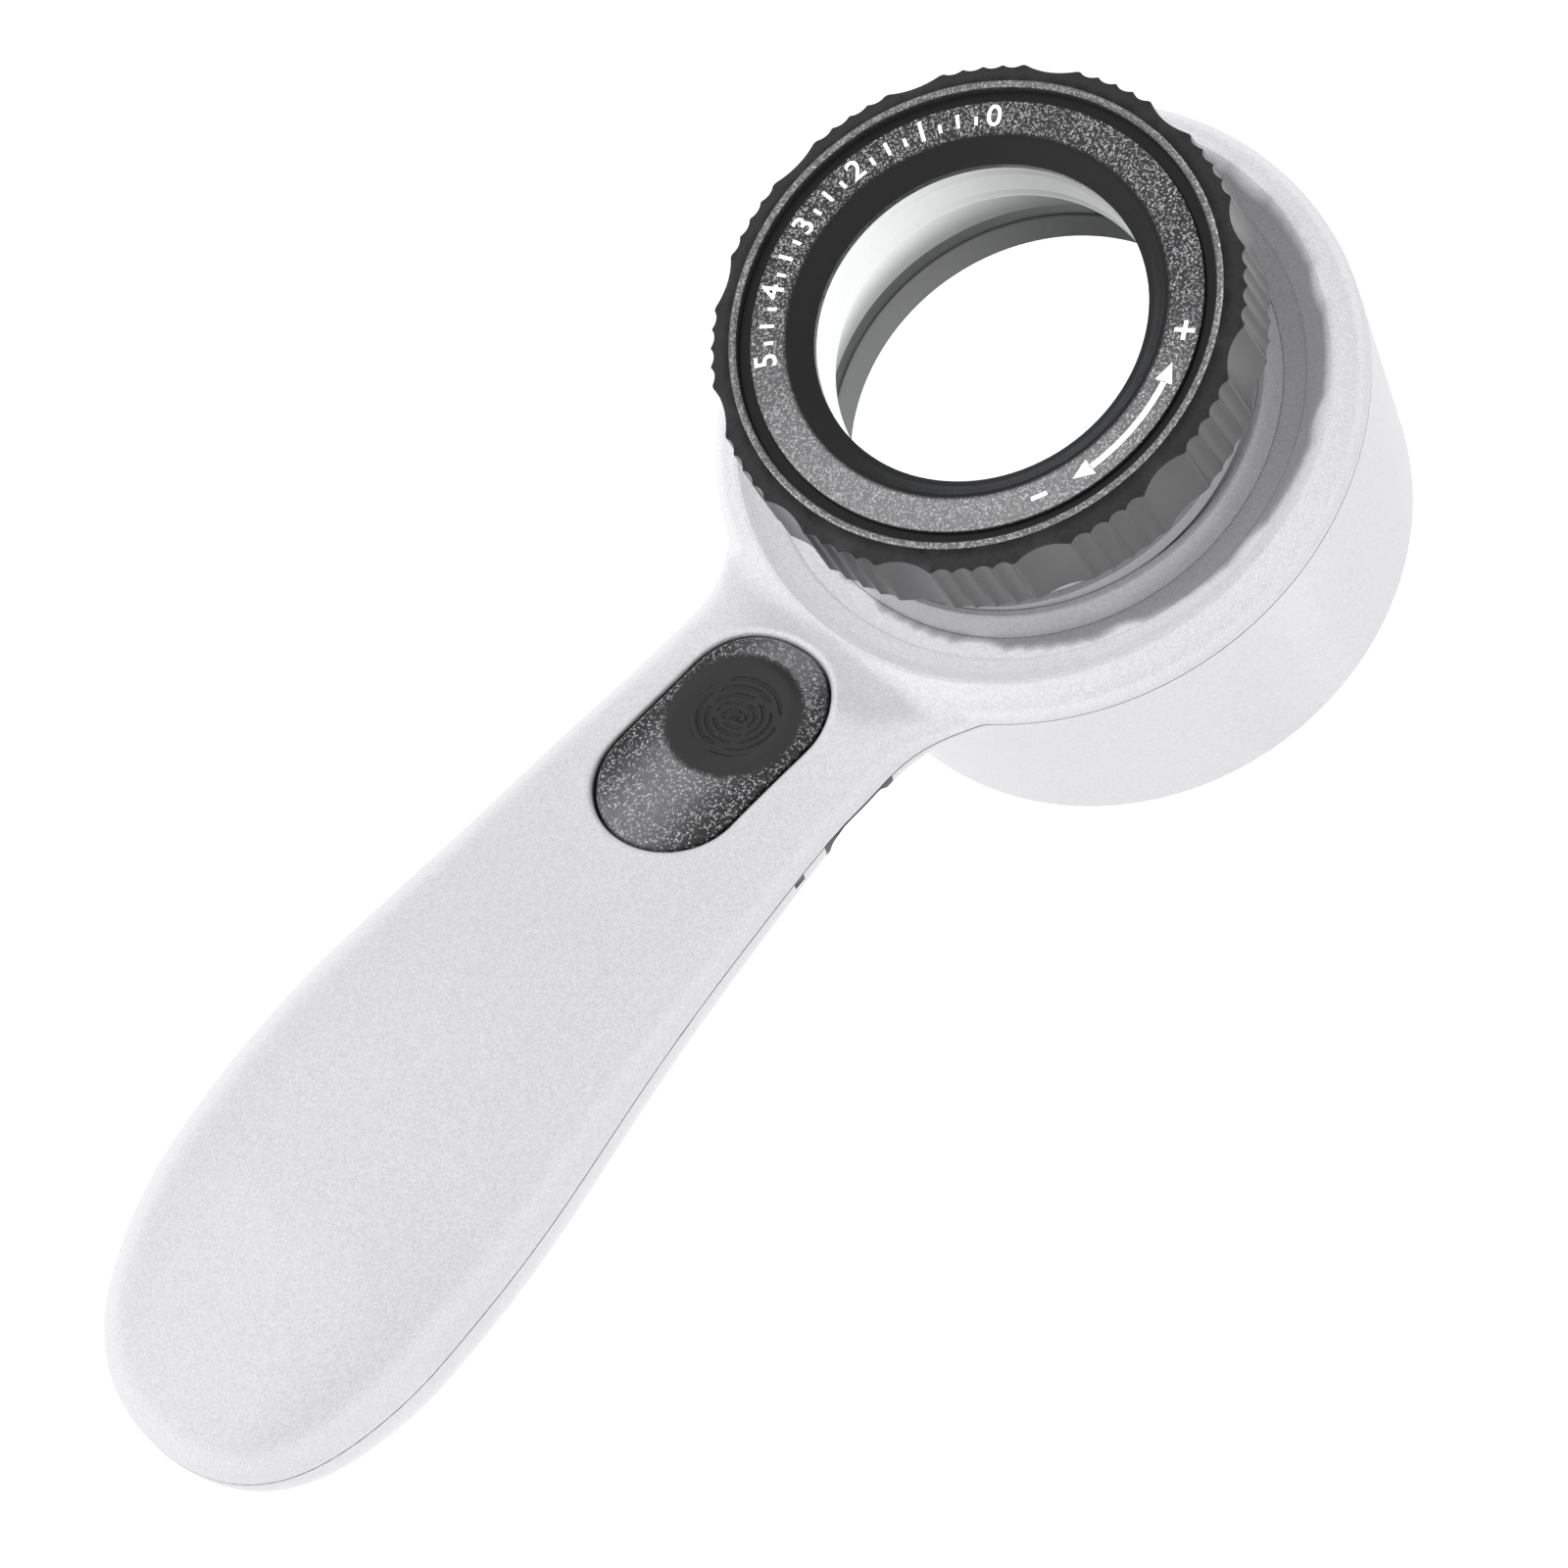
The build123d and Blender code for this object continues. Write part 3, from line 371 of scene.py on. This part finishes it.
MATERIALS = {
    "silver": silver_paint(),
    "knurl": knurl_black(),
    "face": face_paint(),
    "bead": bead_metal(),
    "dark": satin_plastic("dark_plastic", (0.045, 0.045, 0.047), 0.5),
    "white": satin_plastic("white_plastic", (0.88, 0.88, 0.88), 0.45, wear=0.0),
    "cell": painted_light_inner_wall("cell_white", 0.42, 1.1),
    "funnel": painted_light_inner_wall("funnel_white", 0.05, 1.1, *FUNNEL_HEIGHTS),
    "barrel": barrel_paint(),
    "barrel_end": painted_light_inner_wall("barrel_end_grey", 0.02, 0.2),
    # Painted glow: the reflector, diffuser, foot ring and reticle retainer glow though they are no lamps.
    "glow": glowing("painted_glow_white", (0.95, 0.95, 0.95), 0.35),
    "foot": glowing("painted_glow_foot", (0.95, 0.95, 0.95), 0.9),
    "lamp": glowing("lamp_chip", (1.0, 0.95, 0.8), 0.8, 0.3),
    "glass": look_through_glass(),
    "board": circuit_green(),
    "resin": satin_plastic("black_resin", (0.02, 0.02, 0.02), 0.45),
    "smoked": satin_plastic("smoked_window", (0.08, 0.08, 0.085), 0.3, grain=0.1),
    "steel": brushed_metal("screw_steel", (0.62, 0.62, 0.64)),
    "foil": brushed_metal("battery_foil", (0.75, 0.77, 0.8), 0.4, 500),
    "foam": soft_fibre("battery_foam", (0.08, 0.08, 0.08)),
    "felt": soft_fibre("felt", (0.05, 0.05, 0.05)),
    "red": satin_plastic("red_insulation", (0.45, 0.015, 0.015), 0.35),
    "ink": satin_plastic("white_ink", (0.88, 0.88, 0.88), 0.5, wear=0.0),
}

NODE_MATERIAL = {
    "upper_shell": "silver",
    "lower_shell": "silver",
    "shell_screws": "steel",
    "base_ring": "foot",
    "reticle_glass": "glass",
    "reticle_retainer": "foot",
    "reflector_cone": "glow",
    "light_diffuser": "glow",
    "light_board": "board",
    "light_chips": "lamp",
    "focus_collar": "silver",
    "guide_pins": "steel",
    "collar_screws": "steel",
    "friction_ring": "felt",
    "circuit_board": "board",
    "board_screws": "steel",
    "charge_controller": "resin",
    "indicator_lamp": "lamp",
    "battery_connector": "white",
    "indicator_light_pipe": "smoked",
    "socket_shell": "steel",
    "socket_tongue": "resin",
    "switch_body": "resin",
    "switch_plunger": "white",
    "battery_cell": "foil",
    "battery_pad": "foam",
    "battery_wire_red": "red",
    "battery_wire_black": "resin",
    "light_wires": "resin",
    "lens_cell": "cell",
    "lower_lens": "glass",
    "upper_lens": "glass",
    "lens_spacer": "cell",
    "lens_retainer": "cell",
    "focus_barrel": "barrel",
    "barrel_end_ring": "barrel_end",
    "light_funnel": "funnel",
    "grip_ring": "knurl",
    "face_ring": "face",
    "trim_bead": "bead",
    "button_cap": "dark",
    "port_bezel": "dark",
}

for name, key in NODE_MATERIAL.items():
    mesh = NODES[name].data
    mesh.materials.clear()
    mesh.materials.append(MATERIALS[key])


# ---- smooth shading and new pieces ---------------------------------------------------------
NODE_SMOOTH_DEG = 30
PIECE_SMOOTH_DEG = 35


def smooth_by_angle(obj, degrees):
    """Smooth shading everywhere except across edges sharper than the angle."""
    mesh = obj.data
    mesh.polygons.foreach_set("use_smooth", [True] * len(mesh.polygons))
    mesh.set_sharp_from_angle(angle=math.radians(degrees))


def new_piece(name, mesh_source, material, body):
    """Turn a finished bmesh into one piece that rides on a CAD body."""
    bmesh.ops.recalc_face_normals(mesh_source, faces=mesh_source.faces)
    mesh = bpy.data.meshes.new(name)
    mesh_source.to_mesh(mesh)
    mesh_source.free()
    piece = bpy.data.objects.new(name, mesh)
    bpy.context.scene.collection.objects.link(piece)
    mesh.materials.append(material)
    smooth_by_angle(piece, PIECE_SMOOTH_DEG)
    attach(piece, body)
    return piece


# ---- thumb button ------------------------------------------------------------------------
# Lengths in this section are millimetres on the button's own plane: u runs along the button
# towards the head, v across it, and h stands up from it.
BUTTON_TILT = math.radians(7.0)
PIVOT_U = -11.8
PIVOT_H = -0.05
CAP_STRAIGHT = 5.75        # half length of the outline's straight part
CAP_R = 8.15               # radius of its round ends
FLANGE_STRAIGHT = 5.9
FLANGE_R = 8.9
FLANGE_LOW = -0.9
EDGE_R = 0.8               # rounding of the cap's upper edge
DISH_U = 3.9
DISH_BALL_R = 22.0         # the thumb dish is part of a ball, with its centre at this height
DISH_BALL_H = 23.9
DISH_RIM_SOFT = 0.05
DISH_PAINT_R = 7.2
CROWN_HALF_U = 14.0
CROWN_HALF_V = 8.0
WHORL_R = 5.0
WHORL_PITCH = 0.9
WHORL_DEPTH = 0.2
WHORL_WOBBLE = 0.25
WHORL_FADE = 0.35          # width over which the grooves run out at the dish's edge
TRUNNION_R = 0.75
TRUNNION_LENGTH = 21.0
POST_U = 4.06
POST_H = -1.1
POST_R = 1.0
POST_LENGTH = 0.8
ROUND_SEGMENTS = 40
OUTLINE_POINTS = 640
TOP_RINGS = 96
EDGE_RINGS = 9
PROBE_STEP = 0.35          # spacing of the points at which the CAD cap's height is read
PROBE_MARGIN = 0.15
PROBE_START_H = 15.0
LOWEST_CROWN_H = 1.0
WELD_M = 0.00003


def button_axes():
    """Origin and axes of the button's plane, from the button's hinge."""
    hinge = next(j for j in frame["joints"] if j["name"] == "button_press")
    along = Vector((math.cos(BUTTON_TILT), 0, -math.sin(BUTTON_TILT)))
    normal = Vector((math.sin(BUTTON_TILT), 0, math.cos(BUTTON_TILT)))
    origin = Vector(hinge["pos_m"]) - (along * PIVOT_U + normal * PIVOT_H) * MM
    return origin, along, Vector((0, 1, 0)), normal


def dish_height(u, v):
    return DISH_BALL_H - np.sqrt(DISH_BALL_R ** 2 - (u - DISH_U) ** 2 - v ** 2)


def crown_terms(u, v):
    """Terms of the smooth polynomial that stands for the cap's crown."""
    x, y = u / CROWN_HALF_U, v / CROWN_HALF_V
    return np.stack([x ** i * y ** j for j in (0, 2, 4) for i in range(5 - j // 2)], axis=-1)


def fit_crown():
    """Fit the crown's polynomial to the CAD cap, outside the thumb dish."""
    origin, along, side, normal = button_axes()
    cap = NODES["button_cap"].data
    tree = BVHTree.FromPolygons([v.co for v in cap.vertices], [p.vertices for p in cap.polygons])
    points, heights = [], []
    for u in np.arange(-13.6, 13.7, PROBE_STEP):
        for v in np.arange(-7.9, 8.0, PROBE_STEP):
            if math.hypot(max(abs(u) - CAP_STRAIGHT, 0), v) > CAP_R - PROBE_MARGIN:
                continue
            start = origin + (along * u + side * v + normal * PROBE_START_H) * MM
            hit = tree.ray_cast(start, -normal)[0]
            height = (hit - origin).dot(normal) / MM
            if LOWEST_CROWN_H < height < dish_height(u, v) - DISH_RIM_SOFT:
                points.append((u, v))
                heights.append(height)
    points = np.array(points)
    return np.linalg.lstsq(crown_terms(points[:, 0], points[:, 1]), np.array(heights), rcond=None)[0]


def whorl(u, v):
    """Depth of the grooves in the dish: one plain spiral, cut by a few gaps."""
    x, y = u - DISH_U, v
    radius = np.hypot(x, y)
    turn = np.arctan2(y, x)
    wobble = WHORL_WOBBLE * np.sin(2 * turn + 0.6)
    phase = (radius + wobble) / WHORL_PITCH - turn / (2 * math.pi)
    groove = np.clip((np.cos(2 * math.pi * phase) - 0.1) / 0.5, 0, 1)
    gap = np.clip((np.cos(turn * 3 + radius * 1.4) + 0.88) / 0.12, 0, 1)
    fade = np.clip((WHORL_R - radius) / WHORL_FADE, 0, 1)
    return WHORL_DEPTH * groove * gap * fade


def obround(straight, radius, count):
    """Points round an obround outline, and the point of its middle line that each belongs to."""
    lengths = [2 * straight, math.pi * radius, 2 * straight, math.pi * radius]
    total = sum(lengths)
    outline, middle = [], []
    for i in range(count):
        s = total * (i + 0.5) / count
        if s < lengths[0]:
            centre = (-straight + s, 0)
            outer = (centre[0], -radius)
        elif s < lengths[0] + lengths[1]:
            angle = -math.pi / 2 + (s - lengths[0]) / radius
            centre = (straight, 0)
            outer = (straight + radius * math.cos(angle), radius * math.sin(angle))
        elif s < total - lengths[3]:
            centre = (straight - (s - lengths[0] - lengths[1]), 0)
            outer = (centre[0], radius)
        else:
            angle = math.pi / 2 + (s - total + lengths[3]) / radius
            centre = (-straight, 0)
            outer = (-straight + radius * math.cos(angle), radius * math.sin(angle))
        outline.append(outer)
        middle.append(centre)
    return np.array(outline), np.array(middle)


def add_cylinder(target, radius, length, place):
    bmesh.ops.create_cone(target, cap_ends=True, segments=ROUND_SEGMENTS, radius1=radius * MM,
                          radius2=radius * MM, depth=length * MM, matrix=place)


def build_button():
    """The cap with its rounded edge, thumb dish, grooves, flange, trunnions and switch post."""
    origin, along, side, normal = button_axes()
    crown = fit_crown()
    count = OUTLINE_POINTS
    outline, middle = obround(CAP_STRAIGHT, CAP_R, count)
    flange, _ = obround(FLANGE_STRAIGHT, FLANGE_R, count)

    def top(u, v):
        surface = crown_terms(u, v) @ crown
        dish = dish_height(u, v)
        soft = -DISH_RIM_SOFT * np.logaddexp(-surface / DISH_RIM_SOFT, -dish / DISH_RIM_SOFT)
        return soft - whorl(u, v)

    rings = []
    flat_share = 1 - EDGE_R / CAP_R
    for share in np.linspace(0, flat_share, TOP_RINGS):
        points = middle + (outline - middle) * share
        rings.append((points, top(points[:, 0], points[:, 1])))
    for bend in np.linspace(0, math.pi / 2, EDGE_RINGS)[1:]:
        share = 1 - EDGE_R * (1 - math.sin(bend)) / CAP_R
        points = middle + (outline - middle) * share
        rings.append((points, top(points[:, 0], points[:, 1]) - EDGE_R * (1 - math.cos(bend))))
    rings.append((outline, np.zeros(count)))
    rings.append((flange, np.zeros(count)))
    rings.append((flange, np.full(count, FLANGE_LOW)))

    made = bmesh.new()
    grid = []
    for points, heights in rings:
        row = []
        for (u, v), h in zip(points, heights):
            row.append(made.verts.new(origin + (along * u + side * v + normal * float(h)) * MM))
        grid.append(row)
    for inner, outer in zip(grid, grid[1:]):
        for i in range(count):
            j = (i + 1) % count
            made.faces.new((inner[i], inner[j], outer[j], outer[i]))
    made.faces.new(grid[-1])
    # The innermost ring runs to and fro along the middle line: close it up.
    bmesh.ops.remove_doubles(made, verts=grid[0], dist=WELD_M)

    spin = Matrix((along, side, normal)).transposed().to_4x4()
    pivot = origin + (along * PIVOT_U + normal * PIVOT_H) * MM
    trunnion = Matrix.Translation(pivot) @ Matrix.Rotation(math.pi / 2, 4, "X")
    add_cylinder(made, TRUNNION_R, TRUNNION_LENGTH, trunnion)
    post = Matrix.Translation(origin + (along * POST_U + normal * POST_H) * MM) @ spin
    add_cylinder(made, POST_R, POST_LENGTH, post)
    middle_x = (origin + along * DISH_U * MM).x / MM
    paint = button_paint(middle_x, DISH_PAINT_R)
    piece = new_piece("thumb_button", made, paint, "button")
    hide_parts("button_cap")


# ---- marks on the face -------------------------------------------------------------------
# Radii and sizes are millimetres, angles are degrees round the optical axis.
INK_HEIGHT = 0.035
INK_SUNK = 0.01            # how far the ink reaches into the face, so that no gap shows
INK_BOLDER = 0.012         # share of a letter's size that its outline grows by
TICK_FROM_DEG = 37.5
TICK_STEP_DEG = 5.0
TICK_COUNT = 21
TICK_HALF_WIDTH = 0.19
TICK_INNER_R = 21.7
TICK_LONG_R = 23.3
TICK_SHORT_R = 22.7
NUMBER_EVERY = 4
NUMBER_SIZE = 3.4
NUMBER_R = 22.5
ARROW_BAR = (22.1, 22.75, -105.0, -75.0)
ARROW_TIPS = ((-110.5, -104.8), (-69.5, -75.2))
ARROW_TIP_R = 22.4
ARROW_ROOT_R = (23.4, 21.4)
PLUS_SIZE = 4.4
PLUS_DEG = -60.0
MINUS_BAR = (22.15, 22.65, -122.5, -118.0)


def arc_strip(target, inner, outer, start, end, low, high):
    """A closed flat strip between two radii, from one angle to another, in degrees."""
    steps = max(2, int(abs(end - start)))
    corners = []
    for i in range(steps + 1):
        angle = math.radians(start + (end - start) * i / steps)
        way = Vector((math.cos(angle), math.sin(angle), 0))
        corners.append([target.verts.new(way * r * MM + Vector((0, 0, z))) for r, z in
                        ((inner, low), (outer, low), (outer, high), (inner, high))])
    for a, b in zip(corners, corners[1:]):
        for i in range(4):
            j = (i + 1) % 4
            target.faces.new((a[i], a[j], b[j], b[i]))
    target.faces.new(corners[0])
    target.faces.new(list(reversed(corners[-1])))


def flat_shape(target, points, low, high):
    """A closed flat plate with a polygon outline given in metres."""
    bottom = [target.verts.new((x, y, low)) for x, y in points]
    upper = [target.verts.new((x, y, high)) for x, y in points]
    for i in range(len(points)):
        j = (i + 1) % len(points)
        target.faces.new((bottom[i], bottom[j], upper[j], upper[i]))
    target.faces.new(upper)
    target.faces.new(list(reversed(bottom)))


def add_text(target, text, size, radius, angle, low, high):
    """Letters standing on the face at one angle, with their tops outward."""
    curve = bpy.data.curves.new("number", "FONT")
    curve.body = text
    curve.size = size * MM
    curve.align_x = "CENTER"
    curve.align_y = "CENTER"
    curve.resolution_u = 4
    curve.extrude = (high - low) / 2
    curve.offset = INK_BOLDER * size * MM
    holder = bpy.data.objects.new("number", curve)
    bpy.context.scene.collection.objects.link(holder)
    bpy.context.view_layer.update()
    evaluated = holder.evaluated_get(bpy.context.evaluated_depsgraph_get())
    mesh = bpy.data.meshes.new_from_object(evaluated)
    turn = math.radians(angle)
    place = Vector((math.cos(turn), math.sin(turn), 0)) * radius * MM
    place.z = (low + high) / 2
    mesh.transform(Matrix.Translation(place) @ Matrix.Rotation(turn - math.pi / 2, 4, "Z"))
    target.from_mesh(mesh)
    bpy.data.objects.remove(holder)
    bpy.data.meshes.remove(mesh)


def build_face_marks():
    """A plain scale of ticks and numbers, a double arrow, and + and - at its ends."""
    face_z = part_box("face_ring")[1].z
    low, high = face_z - INK_SUNK * MM, face_z + INK_HEIGHT * MM
    half = math.degrees(TICK_HALF_WIDTH / 22.0)
    marks = bmesh.new()
    for i in range(TICK_COUNT):
        angle = TICK_FROM_DEG + TICK_STEP_DEG * i
        if i % NUMBER_EVERY == 0:
            add_text(marks, str(i // NUMBER_EVERY), NUMBER_SIZE, NUMBER_R, angle, low, high)
        else:
            outer = TICK_LONG_R if i % 2 == 0 else TICK_SHORT_R
            arc_strip(marks, TICK_INNER_R, outer, angle - half, angle + half, low, high)
    arc_strip(marks, *ARROW_BAR, low, high)
    for tip, root in ARROW_TIPS:
        points = []
        corners = ((ARROW_TIP_R, tip), (ARROW_ROOT_R[0], root), (ARROW_ROOT_R[1], root))
        for radius, angle in corners:
            turn = math.radians(angle)
            points.append((radius * MM * math.cos(turn), radius * MM * math.sin(turn)))
        flat_shape(marks, points, low, high)
    add_text(marks, "+", PLUS_SIZE, ARROW_TIP_R, PLUS_DEG, low, high)
    arc_strip(marks, *MINUS_BAR, low, high)
    new_piece("face_marks", marks, MATERIALS["ink"], "focus_ring")


# ---- stage -------------------------------------------------------------------------------
CAMERA_DISTANCE = 1.5
LENS_PER_METRE = 225.0     # keeps the object the same size at any distance
SURROUND = 0.50            # brightness of the plain surroundings
SOFT_PATCHES = (           # direction and strength of the brighter patches in them
    ((-0.85, 0.25, 0.46), 0.33),
    ((0.35, -0.90, 0.25), 0.30),
)
PATCH_POWER = 3.0          # a higher power makes the patches narrower
FLOOR_SIZE = 8.0
FLOOR_GLOW = 0.65
FLOOR_DROP = 0.0002        # keeps the floor just clear of the base
LIGHT_DISTANCE = 1.2
KEY_DIRECTION = Vector((-0.12, 0.07, 1.0)).normalized()
KEY_SIZE = 0.08
KEY_WATTS = 15.0
HEAD_AIM = Vector((0, 0, 34)) * MM
HEAD_WATTS = 45.0
HEAD_SOFT = 0.03
HEAD_SPOT_DEG = 4.0
HEAD_BLEND = 0.6


def place_light(name, kind, target, direction):
    """A lamp that looks at the target from one direction and casts no mirror-like glints."""
    data = bpy.data.lights.new(name, kind)
    light = bpy.data.objects.new(name, data)
    bpy.context.scene.collection.objects.link(light)
    light.location = target + direction * LIGHT_DISTANCE
    light.rotation_euler = direction.to_track_quat("Z", "Y").to_euler()
    light.visible_glossy = False
    return light


def link_light(light, objects, state):
    """Light only these objects (INCLUDE) or everything but these (EXCLUDE)."""
    linked = bpy.data.collections.new(light.name + "_objects")
    for item in objects:
        linked.objects.link(item)
    light.light_linking.receiver_collection = linked
    for entry in linked.collection_objects:
        entry.light_linking.link_state = state


def build_floor():
    """A pale floor under the base, bright enough to read as white paper."""
    bpy.ops.mesh.primitive_plane_add(size=FLOOR_SIZE, location=(0, 0, -FLOOR_DROP))
    floor = bpy.context.object
    floor.name = "floor"
    s = Shader("floor_white")
    fine = s.mix(s.noise(40, 2), (0.90, 0.90, 0.90), (0.93, 0.93, 0.93))
    glow = {"Emission_Color": (1.0, 1.0, 1.0, 1), "Emission_Strength": FLOOR_GLOW}
    floor.data.materials.append(s.finish(s.principled(fine, 0.9, **glow)))
    return floor


def build_world():
    """Even studio surroundings with two brighter patches."""
    world = bpy.data.worlds.new("studio")
    bpy.context.scene.world = world
    world.use_nodes = True
    nodes, links = world.node_tree.nodes, world.node_tree.links
    background = nodes["Background"]
    background.inputs["Color"].default_value = (1, 1, 1, 1)
    direction = nodes.new("ShaderNodeTexCoord").outputs["Generated"]

    def combine(operation, a, b):
        made = nodes.new("ShaderNodeMath")
        made.operation = operation
        links.new(a, made.inputs[0])
        if isinstance(b, float):
            made.inputs[1].default_value = b
        else:
            links.new(b, made.inputs[1])
        return made.outputs[0]

    total = None
    for way, strength in SOFT_PATCHES:
        dot = nodes.new("ShaderNodeVectorMath")
        dot.operation = "DOT_PRODUCT"
        links.new(direction, dot.inputs[0])
        dot.inputs[1].default_value = Vector(way).normalized()
        patch = combine("POWER", combine("MAXIMUM", dot.outputs["Value"], 0.0), PATCH_POWER)
        patch = combine("MULTIPLY", patch, strength)
        total = patch if total is None else combine("ADD", total, patch)
    links.new(combine("ADD", total, SURROUND), background.inputs["Strength"])


def build_stage():
    """The floor, the lights and the camera."""
    floor = build_floor()
    build_world()
    key = place_light("key_light", "AREA", AIM, KEY_DIRECTION)
    key.data.size = KEY_SIZE
    key.data.energy = KEY_WATTS
    link_light(key, [floor], "EXCLUDE")
    head = place_light("head_light", "SPOT", HEAD_AIM, KEY_DIRECTION)
    head.data.energy = HEAD_WATTS
    head.data.shadow_soft_size = HEAD_SOFT
    head.data.spot_size = math.radians(HEAD_SPOT_DEG)
    head.data.spot_blend = HEAD_BLEND
    silver = [NODES[name] for name in ("upper_shell", "lower_shell", "focus_collar")]
    link_light(head, silver, "INCLUDE")

    camera = bpy.data.objects.new("camera", bpy.data.cameras.new("camera"))
    bpy.context.scene.collection.objects.link(camera)
    camera.data.sensor_width = 36.0
    camera.data.lens = LENS_PER_METRE * CAMERA_DISTANCE
    camera.data.clip_end = 2.0 * CAMERA_DISTANCE
    right = VIEW_UP.cross(VIEW_BACK).normalized()
    up = VIEW_BACK.cross(right).normalized()
    axes = Matrix((right, up, VIEW_BACK)).transposed().to_4x4()
    camera.matrix_world = Matrix.Translation(AIM + VIEW_BACK * CAMERA_DISTANCE) @ axes
    bpy.context.scene.camera = camera
    bpy.context.scene.view_settings.view_transform = "Standard"


for name in NODES:
    smooth_by_angle(NODES[name], NODE_SMOOTH_DEG)
build_button()
build_face_marks()
build_stage()
